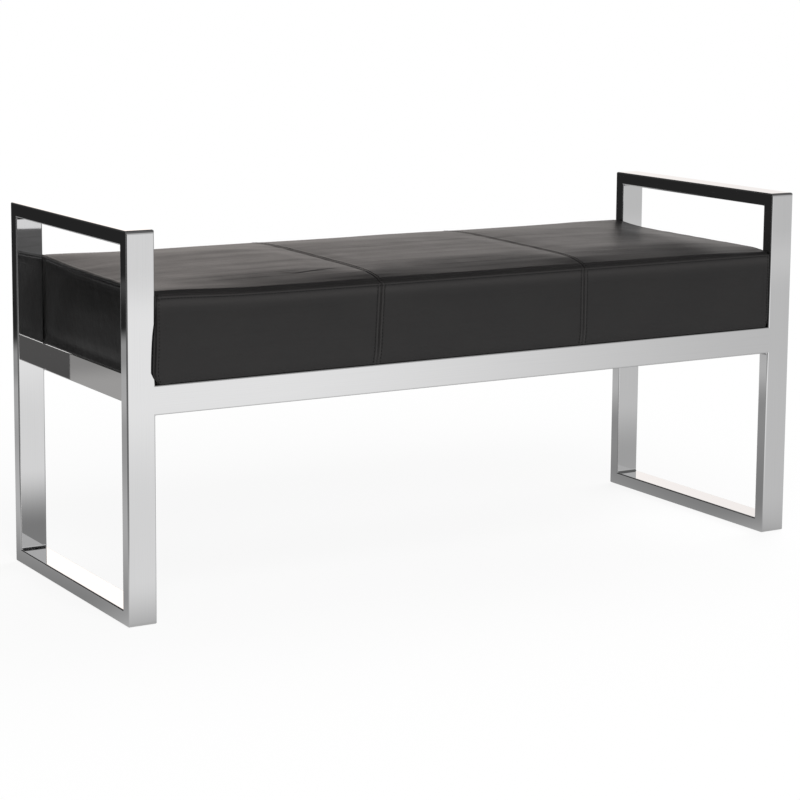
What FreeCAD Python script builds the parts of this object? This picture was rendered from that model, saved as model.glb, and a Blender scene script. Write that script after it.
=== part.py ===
import FreeCAD, Part
import math
import os

Vector = FreeCAD.Vector

# Overall size of the bench, floor to arm rail and outside to outside
bench_length = 1100.0
bench_depth = 400.0
bench_height = 525.0

# Polished flat steel tube of the end loops and the seat rails
tube_width = 40.0
tube_thickness = 20.0
tube_wall = 1.5
tube_edge_radius = 2.0
loop_corner_radius = 5.0
weld_radius = 3.5
seat_rail_top = 321.5

# Upholstered seat: side boxing, rolled edges, crown and the places of its cross seams
cushion_end_clearance = 0.5
boxing_height = 110.0
top_roll = 10.0
least_roll = 3.0
bottom_roll = 2.5
crown_rise = 6.0
cushion_corner_radius = 9.0
side_draw = 3.0
end_draw = 2.0
panel_seam_half_span = 170.0

# Layers of the seat, from the leather inwards
leather_thickness = 1.3
hem_width = 30.0
wadding_thickness = 8.0
layer_clearance = 0.3
board_thickness = 15.0
dust_cover_thickness = 0.6
dust_cover_clearance = 2.0

# Corner plates welded into the seat frame, and the hex screws that hold the seat down to them
plate_leg = 70.0
plate_tip = 10.0
plate_crop = 10.0
plate_thickness = 4.0
screw_inset = 26.0
screw_radius = 3.0
screw_length = 20.0
screw_head_flats = 10.0
screw_head_height = 4.0
screw_hole_clearance = 0.4

# Hex nuts let into the top of the seat board
nut_flats = 10.0
nut_height = 5.0
nut_pocket_clearance = 0.2
thread_clearance = 0.1

# Nylon glide pads under the foot rails
glide_width = 24.0
glide_length = 36.0
glide_height = 1.2
glide_crop = 3.0
glide_inset = 45.0

# Overrun of every cut past the face it opens
overrun = 2.0

# How the rolled edges and the crown are divided into loft sections
roll_turn_shares = (0, 1 / 3, 2 / 3, 1)
crown_section_shares = (0.4, 1)
crown_reach_share = 0.65
arc_middle_share = 1 - math.sqrt(0.5)
hex_sides = 6

# Places that follow from the sizes above
half_length = bench_length / 2
half_depth = bench_depth / 2
loop_bottom = glide_height
leg_inner_x = half_length - tube_width
rail_inner_y = half_depth - tube_thickness
end_rail_inner_x = leg_inner_x - tube_thickness
seat_rail_bottom = seat_rail_top - tube_width
cushion_half_length = leg_inner_x - cushion_end_clearance
cushion_half_depth = half_depth
crown_inset = cushion_half_depth * crown_reach_share
boxing_seam = seat_rail_top + boxing_height
board_bottom = seat_rail_top + leather_thickness
board_top = board_bottom + board_thickness
plate_bottom = seat_rail_top - plate_thickness
screw_x = screw_inset - end_rail_inner_x
screw_y = screw_inset - rail_inner_y
wadding_offset = leather_thickness + layer_clearance
foam_room_offset = wadding_offset + wadding_thickness
foam_offset = foam_room_offset + layer_clearance

centre = Vector(0, 0, 0)
x_axis = Vector(1, 0, 0)
y_axis = Vector(0, 1, 0)
z_axis = Vector(0, 0, 1)


def seen_from_side(x):
    """Placer of outlines in the plane across the bench."""
    return lambda y, z: Vector(x, y, z)


def seen_from_front(y):
    """Placer of outlines in the plane along the bench."""
    return lambda x, z: Vector(x, y, z)


def seen_from_above(z):
    """Placer of plan outlines at one height."""
    return lambda x, y: Vector(x, y, z)


def rounded_outline(u_span, v_span, radius, place, waists=((), (), (), ())):
    """Closed outline with round corners, its sides bent through waist points where given."""
    u_low, u_high = u_span
    v_low, v_high = v_span
    near = radius * arc_middle_share
    corners = (
        (u_high, v_low, (1, 0), (0, 1)),
        (u_high, v_high, (0, 1), (-1, 0)),
        (u_low, v_high, (-1, 0), (0, -1)),
        (u_low, v_low, (0, -1), (1, 0)),
    )
    turns = []
    for u, v, come, go in corners:
        start = (u - come[0] * radius, v - come[1] * radius)
        middle = (u + (go[0] - come[0]) * near, v + (go[1] - come[1]) * near)
        end = (u + go[0] * radius, v + go[1] * radius)
        turns.append((start, middle, end))
    edges = []
    for index, (start, middle, end) in enumerate(turns):
        edges.append(Part.Arc(place(*start), place(*middle), place(*end)).toShape())
        following = turns[(index + 1) % len(turns)][0]
        stops = [end, *waists[index], following]
        edges += Part.makePolygon([place(*stop) for stop in stops]).Edges
    return Part.Wire(edges)


def prism(points, along):
    """Straight solid on a closed polygon."""
    return Part.Face(Part.makePolygon(list(points) + [points[0]])).extrude(along)


def cropped_slab(x_span, y_span, crop, z, thickness):
    """Flat slab with its four corners cropped."""
    x_low, x_high = x_span
    y_low, y_high = y_span
    corners = (
        (x_low + crop, y_low),
        (x_high - crop, y_low),
        (x_high, y_low + crop),
        (x_high, y_high - crop),
        (x_high - crop, y_high),
        (x_low + crop, y_high),
        (x_low, y_high - crop),
        (x_low, y_low + crop),
    )
    return prism([Vector(x, y, z) for x, y in corners], z_axis * thickness)


def hex_prism(x, y, z, across_flats, height):
    """Upright six-sided plug standing on a height."""
    reach = across_flats / math.sqrt(3)
    turns = [2 * math.pi * index / hex_sides for index in range(hex_sides)]
    corners = [Vector(x + reach * math.cos(turn), y + reach * math.sin(turn), z) for turn in turns]
    return prism(corners, z_axis * height)


def screw_bore(radius, low, high):
    """Round plug on the axis of the front left seat screw."""
    return Part.makeCylinder(radius, high - low, Vector(screw_x, screw_y, low))


def fillet_bead(corner, first, second, along):
    """Weld bead with a hollow face, lying in a corner between two directions."""
    near = weld_radius * arc_middle_share
    start = corner + first * weld_radius
    end = corner + second * weld_radius
    face = Part.Arc(start, corner + (first + second) * near, end).toShape()
    legs = Part.makePolygon([end, corner, start])
    return Part.Face(Part.Wire([face] + legs.Edges)).extrude(along)


def in_all_quarters(solid):
    """A solid of the front left quarter, repeated in all four quarters."""
    right = solid.mirror(centre, x_axis)
    return [solid, right, solid.mirror(centre, y_axis), right.mirror(centre, y_axis)]


def save(name, *solids):
    """Write one named piece, or a group of like pieces."""
    shape = solids[0] if len(solids) == 1 else Part.makeCompound(list(solids))
    shape.exportStep("parts/" + name + ".step")


def straight_tube(u_span, v_span, place, along):
    """Tube on a section given by two spans: its solid envelope and the same tube hollow."""
    envelope = Part.Face(rounded_outline(u_span, v_span, tube_edge_radius, place)).extrude(along)
    u_low, u_high = u_span[0] + tube_wall, u_span[1] - tube_wall
    v_low, v_high = v_span[0] + tube_wall, v_span[1] - tube_wall
    corners = ((u_low, v_low), (u_high, v_low), (u_high, v_high), (u_low, v_high))
    bore = prism([place(*corner) for corner in corners], along)
    return envelope, envelope.cut(bore)


# End loops: four mitred tubes each, welded and polished round the corners


def front_left_leg():
    """Front left leg before its ends are mitred, solid and hollow."""
    rise = z_axis * (bench_height - loop_bottom)
    spans = (-half_length, -leg_inner_x), (-half_depth, -rail_inner_y)
    return straight_tube(*spans, seen_from_above(loop_bottom), rise)


def loop_rail(low):
    """Level tube of the left end loop with its underside at one height."""
    spans = (-half_length, -leg_inner_x), (low, low + tube_thickness)
    return straight_tube(*spans, seen_from_front(-half_depth), y_axis * bench_depth)[1]


def mitre_wedges():
    """Blocks that part an end loop along its mitre lines."""
    out_y, in_y = half_depth + overrun, rail_inner_y - overrun
    out_low, in_low = loop_bottom - overrun, loop_bottom + tube_thickness + overrun
    out_high, in_high = bench_height + overrun, bench_height - tube_thickness - overrun
    plans = {
        "front_leg": ((-out_y, out_low), (-in_y, in_low), (-in_y, in_high), (-out_y, out_high)),
        "rear_leg": ((out_y, out_low), (in_y, in_low), (in_y, in_high), (out_y, out_high)),
        "arm_rail": ((-out_y, out_high), (-in_y, in_high), (in_y, in_high), (out_y, out_high)),
        "foot_rail": ((-out_y, out_low), (-in_y, in_low), (in_y, in_low), (out_y, out_low)),
    }
    place = seen_from_side(-half_length)
    across = x_axis * tube_width
    return {name: prism([place(*corner) for corner in plan], across) for name, plan in plans.items()}


def build_end_loops():
    """Both end loops as mitred tubes, rounded at their outer corners."""
    spans = (-half_depth, half_depth), (loop_bottom, bench_height)
    outline = rounded_outline(*spans, loop_corner_radius, seen_from_side(-half_length))
    silhouette = Part.Face(outline).extrude(x_axis * tube_width)
    leg = front_left_leg()[1]
    tubes = {
        "front_leg": leg,
        "rear_leg": leg.mirror(centre, y_axis),
        "arm_rail": loop_rail(bench_height - tube_thickness),
        "foot_rail": loop_rail(loop_bottom),
    }
    for name, wedge in mitre_wedges().items():
        tube = tubes[name].common(wedge).common(silhouette).Solids[0]
        save("left_" + name, tube)
        save("right_" + name, tube.mirror(centre, x_axis))


def build_glides():
    """Flat pads with cropped corners, two under each foot rail."""
    middle_x = leg_inner_x + tube_width / 2
    middle_y = half_depth - glide_inset
    x_span = (-middle_x - glide_width / 2, -middle_x + glide_width / 2)
    y_span = (-middle_y - glide_length / 2, -middle_y + glide_length / 2)
    save("foot_glides", *in_all_quarters(cropped_slab(x_span, y_span, glide_crop, 0, glide_height)))


# Seat frame: four rails coped flush into their neighbours, weld beads and corner plates


def build_rails():
    """Front and rear rails between the legs, end rails between those."""
    heights = (seat_rail_bottom, seat_rail_top)
    start_x = leg_inner_x + tube_edge_radius
    start_y = rail_inner_y + tube_edge_radius
    solid_front, front = straight_tube(
        (-half_depth, -rail_inner_y), heights, seen_from_side(-start_x), x_axis * (2 * start_x)
    )
    legs = in_all_quarters(front_left_leg()[0])
    front = front.cut(legs).Solids[0]
    save("front_seat_rail", front)
    save("rear_seat_rail", front.mirror(centre, y_axis))
    end = straight_tube(
        (-leg_inner_x, -end_rail_inner_x), heights, seen_from_front(-start_y), y_axis * (2 * start_y)
    )[1]
    end = end.cut([solid_front, solid_front.mirror(centre, y_axis)]).Solids[0]
    save("left_end_rail", end)
    save("right_end_rail", end.mirror(centre, x_axis))


def build_welds():
    """Fillet beads in the inner corners of the loops, under the rails and inside the seat frame."""
    across = x_axis * (tube_width - 2 * tube_edge_radius)
    bead_x = tube_edge_radius - half_length
    low = Vector(bead_x, -rail_inner_y, loop_bottom + tube_thickness)
    high = Vector(bead_x, -rail_inner_y, bench_height - tube_thickness)
    beads = in_all_quarters(fillet_bead(low, y_axis, z_axis, across))
    beads += in_all_quarters(fillet_bead(high, y_axis, -z_axis, across))
    save("loop_corner_welds", *beads)
    under = Vector(-leg_inner_x, tube_edge_radius - half_depth, seat_rail_bottom)
    through = y_axis * (tube_thickness - 2 * tube_edge_radius)
    save("rail_to_leg_welds", *in_all_quarters(fillet_bead(under, x_axis, -z_axis, through)))
    inside = Vector(-end_rail_inner_x, -rail_inner_y, seat_rail_bottom + tube_edge_radius)
    up = z_axis * (tube_width - 2 * tube_edge_radius)
    save("rail_corner_welds", *in_all_quarters(fillet_bead(inside, x_axis, y_axis, up)))


def build_corner_plates():
    """Flat gussets level with the rail tops, cropped clear of the corner beads."""
    reaches = (
        (plate_crop, 0),
        (plate_leg, 0),
        (plate_leg, plate_tip),
        (plate_tip, plate_leg),
        (0, plate_leg),
        (0, plate_crop),
    )
    corners = [Vector(u - end_rail_inner_x, v - rail_inner_y, plate_bottom) for u, v in reaches]
    plate = prism(corners, z_axis * plate_thickness)
    plate = plate.cut(screw_bore(screw_radius + screw_hole_clearance, plate_bottom, seat_rail_top))
    save("seat_corner_plates", *in_all_quarters(plate))


def build_fasteners():
    """Hex screws up through the corner plates into nuts in the board."""
    head = hex_prism(screw_x, screw_y, plate_bottom - screw_head_height, screw_head_flats, screw_head_height)
    screw = head.fuse(screw_bore(screw_radius, plate_bottom, plate_bottom + screw_length))
    save("seat_screws", *in_all_quarters(screw.Solids[0]))
    nut_low = board_top - nut_height
    nut = hex_prism(screw_x, screw_y, nut_low, nut_flats, nut_height)
    nut = nut.cut(screw_bore(screw_radius + thread_clearance, nut_low, board_top))
    save("board_nuts", *in_all_quarters(nut))


# Upholstered seat


def cushion_outline(inset, z):
    """Plan outline of the seat at one height, drawn in at its seams and at the middle of its ends."""
    across = cushion_half_length - inset
    deep = cushion_half_depth - inset
    seam = panel_seam_half_span
    side_run = cushion_half_length - cushion_corner_radius - seam
    end_run = cushion_half_depth - cushion_corner_radius
    waist_x = across - end_draw * (end_run - inset) / end_run
    waist_y = deep - side_draw * (side_run - inset) / side_run
    waists = (
        [(waist_x, 0)],
        [(seam, waist_y), (-seam, waist_y)],
        [(-waist_x, 0)],
        [(-seam, -waist_y), (seam, -waist_y)],
    )
    spans = (-across, across), (-deep, deep)
    return rounded_outline(*spans, cushion_corner_radius, seen_from_above(z), waists)


def cushion_slab(inset, low, high):
    """Straight-sided part of the seat between two heights."""
    return Part.Face(cushion_outline(inset, low)).extrude(z_axis * (high - low))


def crowned_top(offset):
    """Rolled edge and crown of the seat, set inwards by an offset."""
    roll = max(top_roll - offset, least_roll)
    start = boxing_seam + top_roll - offset - roll
    turns = [share * math.pi / 2 for share in roll_turn_shares]
    sections = [(roll * (1 - math.cos(turn)), roll * math.sin(turn)) for turn in turns]
    sections += [(roll + (crown_inset - roll) * share, roll) for share in crown_section_shares]
    outlines = []
    for inset, lift in sections:
        swell = 1 - (1 - inset / crown_inset) ** 2
        outlines.append(cushion_outline(offset + inset, start + lift + crown_rise * swell))
    return Part.makeLoft(outlines, True, True)


def rolled_bottom():
    """Seat's lower edge, rolled under towards the rails."""
    outlines = []
    for share in roll_turn_shares:
        turn = share * math.pi / 2
        inset = bottom_roll * (1 - math.sin(turn))
        rise = bottom_roll * (1 - math.cos(turn))
        outlines.append(cushion_outline(inset, seat_rail_top + rise))
    return Part.makeLoft(outlines, True, True)


def boxing_wedges():
    """Blocks that part the side boxing at its corner seams and at the two cross seams."""
    reach = hem_width + cushion_corner_radius
    out_x, in_x = cushion_half_length + overrun, cushion_half_length - reach
    out_y, in_y = cushion_half_depth + overrun, cushion_half_depth - reach
    seam = panel_seam_half_span
    plans = {}
    for side, turn in (("front", -1), ("rear", 1)):
        out, into = turn * out_y, turn * in_y
        plans[side + "_boxing_left"] = ((-out_x, out), (-seam, out), (-seam, into), (-in_x, into))
        plans[side + "_boxing_centre"] = ((-seam, out), (seam, out), (seam, into), (-seam, into))
        plans[side + "_boxing_right"] = ((seam, out), (out_x, out), (in_x, into), (seam, into))
    for side, turn in (("left", -1), ("right", 1)):
        out, into = turn * out_x, turn * in_x
        plans[side + "_end_boxing"] = ((out, -out_y), (out, out_y), (into, in_y), (into, -in_y))
    place = seen_from_above(seat_rail_top)
    rise = z_axis * boxing_height
    return {name: prism([place(*corner) for corner in plan], rise) for name, plan in plans.items()}


def build_boxing():
    """Leather sides, rolled under the board and hemmed there."""
    walls = cushion_slab(0, seat_rail_top + bottom_roll, boxing_seam).fuse(rolled_bottom())
    hollow = cushion_slab(leather_thickness, board_bottom, boxing_seam)
    opening = cushion_slab(hem_width, seat_rail_top, board_bottom)
    skin = walls.cut([hollow, opening]).removeSplitter()
    for name, wedge in boxing_wedges().items():
        save(name, skin.common(wedge).Solids[0])


def build_top_panels():
    """Three crowned leather panels, sewn side by side across the seat."""
    skin = crowned_top(0).cut(crowned_top(leather_thickness))
    edge = cushion_half_length + overrun
    seam = panel_seam_half_span
    across = cushion_half_depth + overrun
    rise = top_roll + crown_rise + overrun
    for side, low, high in (("left", -edge, -seam), ("centre", -seam, seam), ("right", seam, edge)):
        block = Part.makeBox(high - low, 2 * across, rise, Vector(low, -across, boxing_seam))
        save("top_panel_" + side, skin.common(block).Solids[0])


def build_filling():
    """Board, foam block and crowned wadding inside the cover, and the cloth that closes it below."""
    board = cushion_slab(wadding_offset, board_bottom, board_top)
    pocket_low = board_top - nut_height
    pocket = hex_prism(screw_x, screw_y, pocket_low, nut_flats + 2 * nut_pocket_clearance, nut_height)
    bore = screw_bore(screw_radius + screw_hole_clearance, board_bottom, board_top)
    board = board.cut(in_all_quarters(pocket) + in_all_quarters(bore))
    save("seat_board", board.Solids[0])
    room_top = boxing_seam + top_roll - foam_room_offset
    save("foam_core", cushion_slab(foam_offset, board_top, room_top - layer_clearance))
    wadding = crowned_top(wadding_offset).fuse(cushion_slab(wadding_offset, board_top, boxing_seam))
    wadding = wadding.cut(cushion_slab(foam_room_offset, board_top, room_top)).removeSplitter()
    save("wadding_layer", wadding.Solids[0])
    across = end_rail_inner_x - dust_cover_clearance
    deep = rail_inner_y - dust_cover_clearance
    crop = plate_leg + plate_tip
    low = seat_rail_top - dust_cover_thickness
    save("dust_cover", cropped_slab((-across, across), (-deep, deep), crop, low, dust_cover_thickness))


os.makedirs("parts", exist_ok=True)
build_end_loops()
build_glides()
build_rails()
build_welds()
build_corner_plates()
build_fasteners()
build_boxing()
build_top_panels()
build_filling()
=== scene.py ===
"""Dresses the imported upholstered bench: polished tube frame, sewn leather seat, underside and studio."""
import math

import bpy
import numpy as np
from bpy.props import FloatProperty, FloatVectorProperty, IntProperty, PointerProperty
from mathutils import Matrix, Vector, noise
from mathutils.bvhtree import BVHTree


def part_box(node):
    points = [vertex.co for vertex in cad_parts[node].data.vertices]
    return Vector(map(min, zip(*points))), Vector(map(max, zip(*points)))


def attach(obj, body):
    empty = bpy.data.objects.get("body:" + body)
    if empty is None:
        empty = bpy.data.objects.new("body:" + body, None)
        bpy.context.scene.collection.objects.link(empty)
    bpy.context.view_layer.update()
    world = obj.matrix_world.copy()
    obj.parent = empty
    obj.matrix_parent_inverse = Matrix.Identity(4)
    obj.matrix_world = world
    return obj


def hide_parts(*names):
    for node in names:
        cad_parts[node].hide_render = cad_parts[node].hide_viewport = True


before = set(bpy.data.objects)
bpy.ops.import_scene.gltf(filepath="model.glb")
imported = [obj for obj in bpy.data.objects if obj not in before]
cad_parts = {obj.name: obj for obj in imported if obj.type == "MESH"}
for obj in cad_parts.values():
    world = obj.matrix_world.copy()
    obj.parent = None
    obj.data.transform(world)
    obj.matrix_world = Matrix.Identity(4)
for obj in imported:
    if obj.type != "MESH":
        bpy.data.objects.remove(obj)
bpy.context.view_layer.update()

bl_info = {
    "name": "Upholstered bench",
    "version": (1, 0, 0),
    "blender": (4, 5, 0),
    "location": "3D View > Sidebar > Bench",
    "description": "Dresses a polished tube bench with its sewn leather seat",
    "category": "Object",
}

BODY = "root"
MM = 0.001

UPRIGHT_TUBES = ("left_front_leg", "left_rear_leg", "right_front_leg", "right_rear_leg")
CROSS_TUBES = ("left_arm_rail", "right_arm_rail", "left_foot_rail", "right_foot_rail")
END_RAILS = ("left_end_rail", "right_end_rail")
LONG_TUBES = ("front_seat_rail", "rear_seat_rail")
POLISHED_WELDS = ("loop_corner_welds", "rail_to_leg_welds")
PLAIN_FIXINGS = ("rail_corner_welds", "seat_corner_plates", "seat_screws", "board_nuts")
LEATHER_PANELS = ("front_boxing_left", "front_boxing_centre", "front_boxing_right",
                  "rear_boxing_left", "rear_boxing_centre", "rear_boxing_right",
                  "left_end_boxing", "right_end_boxing",
                  "top_panel_left", "top_panel_centre", "top_panel_right")
FILLING = ("foam_core", "wadding_layer")


def length(name, description, default):
    """A length property in metres."""
    return FloatProperty(name=name, description=description, default=default, unit="LENGTH", precision=5)


def colour(name, description, default):
    """A colour property in linear values."""
    return FloatVectorProperty(name=name, description=description, default=default, size=3,
                               subtype="COLOR", min=0.0, max=1.0)


def share(name, description, default):
    """A plain number: a share, a strength, a count of pixels or degrees."""
    return FloatProperty(name=name, description=description, default=default, precision=4)


def power(name, description, default):
    """A lamp's power in watts."""
    return FloatProperty(name=name, description=description, default=default, unit="POWER")


class BenchSeatSettings(bpy.types.PropertyGroup):
    """Sizes of the sewn leather seat."""
    half_length: length("Half length", "Middle of the seat to its end", -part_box("left_end_boxing")[0].x)
    half_depth: length("Half depth", "Middle of the seat to its front", -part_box("front_boxing_left")[0].y)
    base: length("Base", "Height of the seat's underside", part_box("front_boxing_centre")[0].z)
    side_top: length("Side top", "Height where the straight part of the sides ends",
                     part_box("front_boxing_centre")[1].z)
    panel_seam: length("Panel seam", "Middle of the seat to a cross seam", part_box("top_panel_centre")[1].x)
    seam_shift: length("Seam shift", "How far the cover's cross seams sit to the right", -0.005)
    roll: length("Edge roll", "Radius of the rolled top edge", 0.010)
    tuck: length("Tuck", "Radius where the boxing turns under the seat", 0.0025)
    hem: length("Hem", "Leather turned in under the board", 0.030)
    hem_step: length("Hem thickness", "Step from the hem up to the board", 0.0011)
    board_wall: length("Board wall", "Leather and play outside the board's edge", 0.00135)
    board_play: length("Board play", "Room between the board and what lies on it", 0.0002)
    crown: length("Crown", "Rise of the top's middle above its edges", 0.0070)
    seam_lift: length("Seam lift", "Boxing seam above the straight part of the sides", 0.0050)
    front_fall: length("Front fall", "How far the top falls away towards its front edge", 0.0028)
    rear_lift: length("Rear lift", "How much higher the seat is filled at its rear", 0.0030)
    end_fill: length("End fill", "How far the filling squares the top edge at the ends", 0.0029)
    side_fill: length("Side fill", "How far the filling pushes the long sides out", 0.0030)
    swell_cap: length("Swell", "Most that the filling pushes the leather out", 0.0022)
    voxel: length("Simulation cell", "Cell of the simulated copy", 0.006)
    step: length("Mesh step", "Usual distance between the cover's rows", 0.0068)
    pressure: share("Filling pressure", "Pressure in the simulated copy", 4.0)
    end_seam_rise: length("End seam rise", "Boxing seam at the ends above the straight sides", 0.0069)
    corner_fill: length("Corner fill", "How far the filling rounds out the upright corners", 0.0022)
    groove: length("Seam groove", "Depth of the groove at a seam", 0.0014)
    groove_width: length("Seam groove width", "Half width of the groove at a seam", 0.0010)
    lip: length("Seam lip", "Rise of the leather beside a seam", 0.0005)
    channel: length("Stitch channel", "Depth that a stitch row is pulled in", 0.0002)
    crease: length("Crease", "Height of the soft lengthwise creases in the top", 0.0007)
    fold: length("Fold", "Depth of the sharper crease near the front", 0.0004)


class BenchSewingSettings(bpy.types.PropertyGroup):
    """Sizes of the thread, the staples and the dust cover."""
    row_offset: length("Row offset", "Seam to its row of stitches", 0.0054)
    boxing_row: length("Boxing row", "Boxing seam down to its row of stitches", 0.0056)
    stitch_pitch: length("Stitch pitch", "Start of one stitch to the next", 0.0047)
    stitch_length: length("Stitch length", "Thread that shows of one stitch", 0.0028)
    thread_width: length("Thread width", "Thickness of the thread", 0.0012)
    staple_pitch: length("Staple pitch", "One staple to the next", 0.036)
    staple_crown: length("Staple crown", "Length of a staple's back", 0.0105)
    staple_wire: length("Staple wire", "Thickness of the staple's wire", 0.0009)
    staple_inset: length("Staple inset", "Edge of the dust cover to its staples", 0.007)
    cover_crop: length("Dust cover crop", "Length cut off each corner of the dust cover", 0.080)
    cloth_rows: IntProperty(name="Cloth rows", description="Rows of the dust cover's mesh", default=36)


class BenchFinishSettings(bpy.types.PropertyGroup):
    """Colours of the finishes."""
    steel: colour("Polished steel", "Tint of the polished tube", (0.93, 0.93, 0.935))
    end_steel: colour("Hazy steel", "Tint of the less polished end rails", (0.80, 0.785, 0.775))
    zinc: colour("Plain steel", "Colour of plates and screws", (0.52, 0.53, 0.55))
    leather: colour("Leather", "Colour of the leather", (0.0108, 0.0101, 0.0102))
    leather_lighter: colour("Leather, lighter", "Colour where the leather is lighter", (0.0128, 0.0120, 0.0118))
    thread: colour("Thread", "Colour of the thread", (0.0046, 0.0044, 0.0043))
    cloth: colour("Dust cloth", "Colour of the dust cover", (0.020, 0.020, 0.021))
    wood: colour("Plywood", "Colour of the seat board", (0.55, 0.40, 0.25))
    wood_dark: colour("Plywood, darker", "Darker grain of the seat board", (0.40, 0.26, 0.14))
    glide: colour("Glides", "Colour of the glide pads", (0.035, 0.035, 0.037))


class BenchStudioSettings(bpy.types.PropertyGroup):
    """The camera, floor and light."""
    image_size: share("Image size", "Width and height of the picture in pixels", 800.0)
    focal_pixels: share("Focal length", "Focal length of the view in pixels", 2344.8)
    axis_row: share("Axis row", "Pixel row that the camera's axis meets", 292.0)
    eye: FloatVectorProperty(name="Eye", description="Where the camera stands", size=3,
                             default=(-1.7685, -2.9386, 0.8796), subtype="TRANSLATION")
    azimuth: share("Azimuth", "Turn of the camera to the right of straight ahead, in degrees", 30.714)
    pitch: share("Pitch", "Tilt of the camera below the horizon, in degrees", 8.222)
    camera_roll: share("Roll", "Roll of the camera, in degrees", 0.446)
    floor_half: length("Floor", "Middle of the floor to its edge", 14.0)
    key_power: power("Key light", "Power of the key light", 170.0)
    fill_power: power("Fill light", "Power of the fill light", 100.0)


def add_node(tree, kind, settings, sockets):
    """Adds a node: its settings first, then the values or links of its sockets; gives its outputs."""
    made = tree.nodes.new(kind)
    for name, value in (settings or {}).items():
        setattr(made, name, value)
    for name, value in (sockets or {}).items():
        if isinstance(value, bpy.types.NodeSocket):
            tree.links.new(value, made.inputs[name])
        else:
            made.inputs[name].default_value = value
    return made.outputs


class Wire:
    """One output of a shader node; arithmetic on it adds Math nodes."""

    def __init__(self, board, socket):
        self.board = board
        self.socket = socket

    def maths(self, operation, first, second):
        return self.board.node("ShaderNodeMath", {"operation": operation}, {0: first, 1: second})

    def __add__(self, other):
        return self.maths("ADD", self, other)

    def __sub__(self, other):
        return self.maths("SUBTRACT", self, other)

    def __rsub__(self, other):
        return self.maths("SUBTRACT", other, self)

    def __mul__(self, other):
        return self.maths("MULTIPLY", self, other)

    def __truediv__(self, other):
        return self.maths("DIVIDE", self, other)

    def __pow__(self, other):
        return self.maths("POWER", self, other)

    __radd__ = __add__
    __rmul__ = __mul__


class Board:
    """A shader's node tree while it is wired up."""

    def __init__(self, tree):
        self.tree = tree
        tree.nodes.clear()

    def node(self, kind, settings=None, sockets=None, output=0):
        """Adds a node and gives one of its outputs."""
        plain = {name: value.socket if isinstance(value, Wire) else value
                 for name, value in (sockets or {}).items()}
        return Wire(self, add_node(self.tree, kind, settings, plain)[output])

    def place(self):
        """The point on the piece, in metres."""
        return self.node("ShaderNodeTexCoord", output="Object")

    def stretched(self, place, scale):
        """The point with its axes scaled, which stretches a pattern."""
        return self.node("ShaderNodeMapping", {}, {"Vector": place, "Scale": scale})

    def noise(self, place, scale, detail=2.0, roughness=0.5):
        """Soft noise from 0 to 1, with scale features to a metre."""
        return self.node("ShaderNodeTexNoise", {},
                         {"Vector": place, "Scale": scale, "Detail": detail, "Roughness": roughness})

    def ease(self, value, low, high):
        """0 below low and 1 above high, smooth between them; the other way round where low is the higher."""
        return self.node("ShaderNodeMapRange", {"interpolation_type": "SMOOTHSTEP"},
                         {"Value": value, "From Min": low, "From Max": high})

    def tint(self, share_of_second, first, second):
        """A mix of two colours."""
        colours = [c if isinstance(c, Wire) else (*c, 1.0) for c in (first, second)]
        return self.node("ShaderNodeMix", {"data_type": "RGBA"},
                         {0: share_of_second, 6: colours[0], 7: colours[1]}, output=2)

    def bump(self, height, distance, strength=1.0, under=None):
        """A normal that follows a height, over another one where that is given."""
        sockets = {"Height": height, "Distance": distance, "Strength": strength}
        if under is not None:
            sockets["Normal"] = under
        return self.node("ShaderNodeBump", {}, sockets)

    def axis(self, vector, name):
        """One axis of a point or a direction."""
        return self.node("ShaderNodeSeparateXYZ", {}, {0: vector}, output=name)

    def ray(self, kind):
        """1 for rays of one kind, and 0 for others."""
        return self.node("ShaderNodeLightPath", output="Is " + kind + " Ray")

    def zone(self, axes, limits):
        """1 within limits, each an axis with the values where it begins and is whole, and 0 outside them."""
        inside = 1.0
        for axis, begins, whole in limits:
            inside = inside * self.ease(axes[axis], begins, whole)
        return inside

    def summed(self, level, axes, parts):
        """A level and the zones that add to it, each with its amount."""
        for amount, *limits in parts:
            level = level + amount * self.zone(axes, limits)
        return level

    def node_output(self, kind, shader):
        """Ends the tree in an output."""
        made = self.tree.nodes.new(kind)
        self.tree.links.new(shader.socket, made.inputs["Surface"])

    def surface(self, shader):
        """Ends a material's tree in a shader."""
        self.node_output("ShaderNodeOutputMaterial", shader)

    def painted(self, sockets):
        """Ends a material's tree in a principled shader with these values and wires."""
        self.surface(self.node("ShaderNodeBsdfPrincipled", {}, sockets))


def new_finish(name):
    """An empty material and its board."""
    finish = bpy.data.materials.new(name)
    finish.use_nodes = True
    return finish, Board(finish.node_tree)


def polished_steel(name, tint, brush):
    """Mirror-polished tube: nearly flat, with faint polishing lines along the tube."""
    finish, board = new_finish(name)
    place = board.place()
    lines = board.noise(board.stretched(place, brush), scale=1.0, detail=3.0, roughness=0.6)
    haze = board.noise(place, scale=38.0, detail=3.0, roughness=0.55)
    smear = board.noise(place, scale=9.0, detail=2.0)
    rough = 0.020 + 0.022 * lines + 0.03 * board.ease(haze, 0.55, 0.75)
    wave = board.bump(smear, distance=0.0012, strength=0.10)
    fine = board.bump(lines, distance=0.00002, strength=0.07, under=wave)
    base = board.tint(board.ease(lines, 0.35, 0.75), tint, [c * 0.975 for c in tint])
    board.painted({
        "Base Color": base, "Metallic": 1.0, "Roughness": rough, "Normal": fine})
    return finish


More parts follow.
